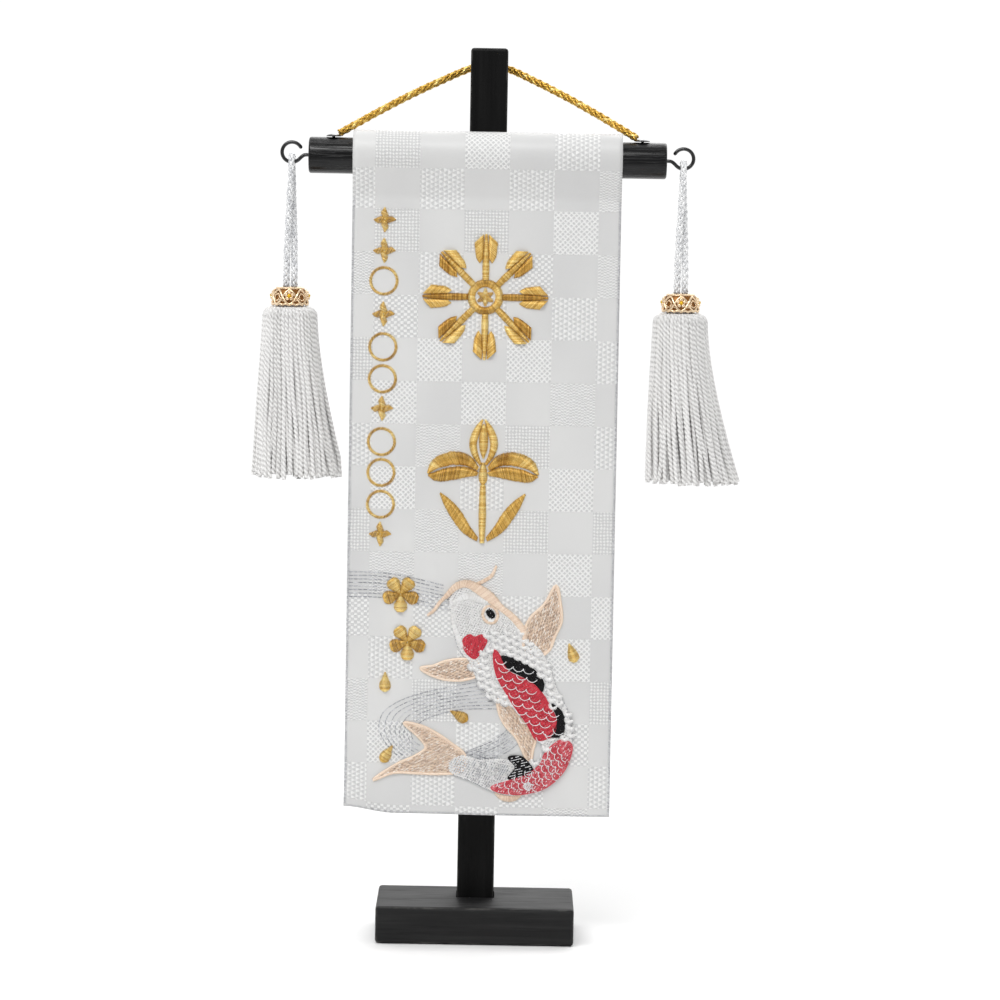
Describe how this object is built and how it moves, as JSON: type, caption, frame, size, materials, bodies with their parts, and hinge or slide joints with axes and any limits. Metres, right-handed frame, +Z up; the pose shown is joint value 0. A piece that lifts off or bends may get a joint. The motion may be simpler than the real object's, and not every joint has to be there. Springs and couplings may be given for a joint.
{
  "type": "table-top carp banner",
  "caption": "Table-top festival hanging: a brocade panel with an embroidered carp on a round bar, hung by a cord from a wooden stand, with a tassel at each end.",
  "frame": {"origin": "centre of the base's underside", "axes": "+Z up along the post, +X to the right as the banner is seen, the banner faces -Y"},
  "size_m": [0.1934, 0.054, 0.36],
  "materials": {
    "black_wood": "black stain, satin",
    "black_wire": "gloss black",
    "steel": "plain zinc",
    "brocade": "white and silver-grey figured brocade",
    "lining": "plain white cloth",
    "gold_thread": "metallic gold thread",
    "silver_thread": "metallic silver thread",
    "beige_thread": "beige thread with a glitter",
    "red_thread": "crimson thread with a glitter",
    "white_thread": "white and silver twisted thread",
    "gold_metal": "rose-gold plated filigree"
  },
  "bodies": {
    "stand": {"base_block": "black_wood", "post": "black_wood", "base_screw": "steel", "rear_hook": "black_wire"},
    "hanging_cord": {"gold_cord": "gold_thread"},
    "hanging_bar": {"bar": "black_wood", "left_hook": "black_wire", "right_hook": "black_wire", "left_tack": "black_wire", "right_tack": "black_wire"},
    "banner": {"face_cloth": "brocade", "stiffening_cloth": "lining", "backing_cloth": "lining", "carp_body": "red_thread", "carp_top_fin": "beige_thread", "carp_side_fin": "beige_thread", "carp_belly_fin": "beige_thread", "carp_tail_fin": "beige_thread", "water_stitch_upper": "silver_thread", "water_stitch_left": "silver_thread", "water_stitch_lower": "silver_thread", "blossom_1": "gold_thread", "blossom_2": "gold_thread", "gold_drop_1": "gold_thread", "gold_drop_2": "gold_thread", "gold_drop_3": "gold_thread", "gold_drop_4": "gold_thread", "upper_ornament": "gold_thread", "lower_ornament": "gold_thread", "ring_stitch_1": "gold_thread", "ring_stitch_2": "gold_thread", "ring_stitch_3": "gold_thread", "ring_stitch_4": "gold_thread", "ring_stitch_5": "gold_thread", "ring_stitch_6": "gold_thread", "lozenge_1": "gold_thread", "lozenge_2": "gold_thread", "lozenge_3": "gold_thread", "lozenge_4": "gold_thread", "lozenge_5": "gold_thread"},
    "left_tassel_loop": {"left_tassel_cord": "white_thread"},
    "left_tassel": {"left_tassel_knot": "white_thread", "left_tassel_cap": "gold_metal", "left_tassel_binding": "white_thread", "left_tassel_skirt": "white_thread"},
    "right_tassel_loop": {"right_tassel_cord": "white_thread"},
    "right_tassel": {"right_tassel_knot": "white_thread", "right_tassel_cap": "gold_metal", "right_tassel_binding": "white_thread", "right_tassel_skirt": "white_thread"}
  },
  "joints": [
    {"name": "hanging_lift", "type": "slide", "parent": "stand", "child": "hanging_cord", "axis": [0, 0, 1], "range_m": [0, 0.03]},
    {"name": "bar_swing", "type": "hinge", "parent": "hanging_cord", "child": "hanging_bar", "pos_m": [0, 0.01605, 0.3528], "axis": [-1, 0, 0], "range_deg": [0, 20], "deforming": ["gold_cord"]},
    {"name": "banner_swing", "type": "hinge", "parent": "hanging_bar", "child": "banner", "pos_m": [0, -0.0106, 0.31605], "axis": [-1, 0, 0], "range_deg": [0, 25]},
    {"name": "left_tassel_swing", "type": "hinge", "parent": "hanging_bar", "child": "left_tassel_loop", "pos_m": [-0.0783, -0.0106, 0.31305], "axis": [-1, 0, 0], "range_deg": [-40, 40]},
    {"name": "left_tassel_sway", "type": "hinge", "parent": "left_tassel_loop", "child": "left_tassel", "pos_m": [-0.0783, -0.0106, 0.26305], "axis": [0, 1, 0], "range_deg": [-3, 30]},
    {"name": "right_tassel_swing", "type": "hinge", "parent": "hanging_bar", "child": "right_tassel_loop", "pos_m": [0.0783, -0.0106, 0.31305], "axis": [-1, 0, 0], "range_deg": [-40, 40]},
    {"name": "right_tassel_sway", "type": "hinge", "parent": "right_tassel_loop", "child": "right_tassel", "pos_m": [0.0783, -0.0106, 0.26305], "axis": [0, -1, 0], "range_deg": [-3, 30]}
  ]
}
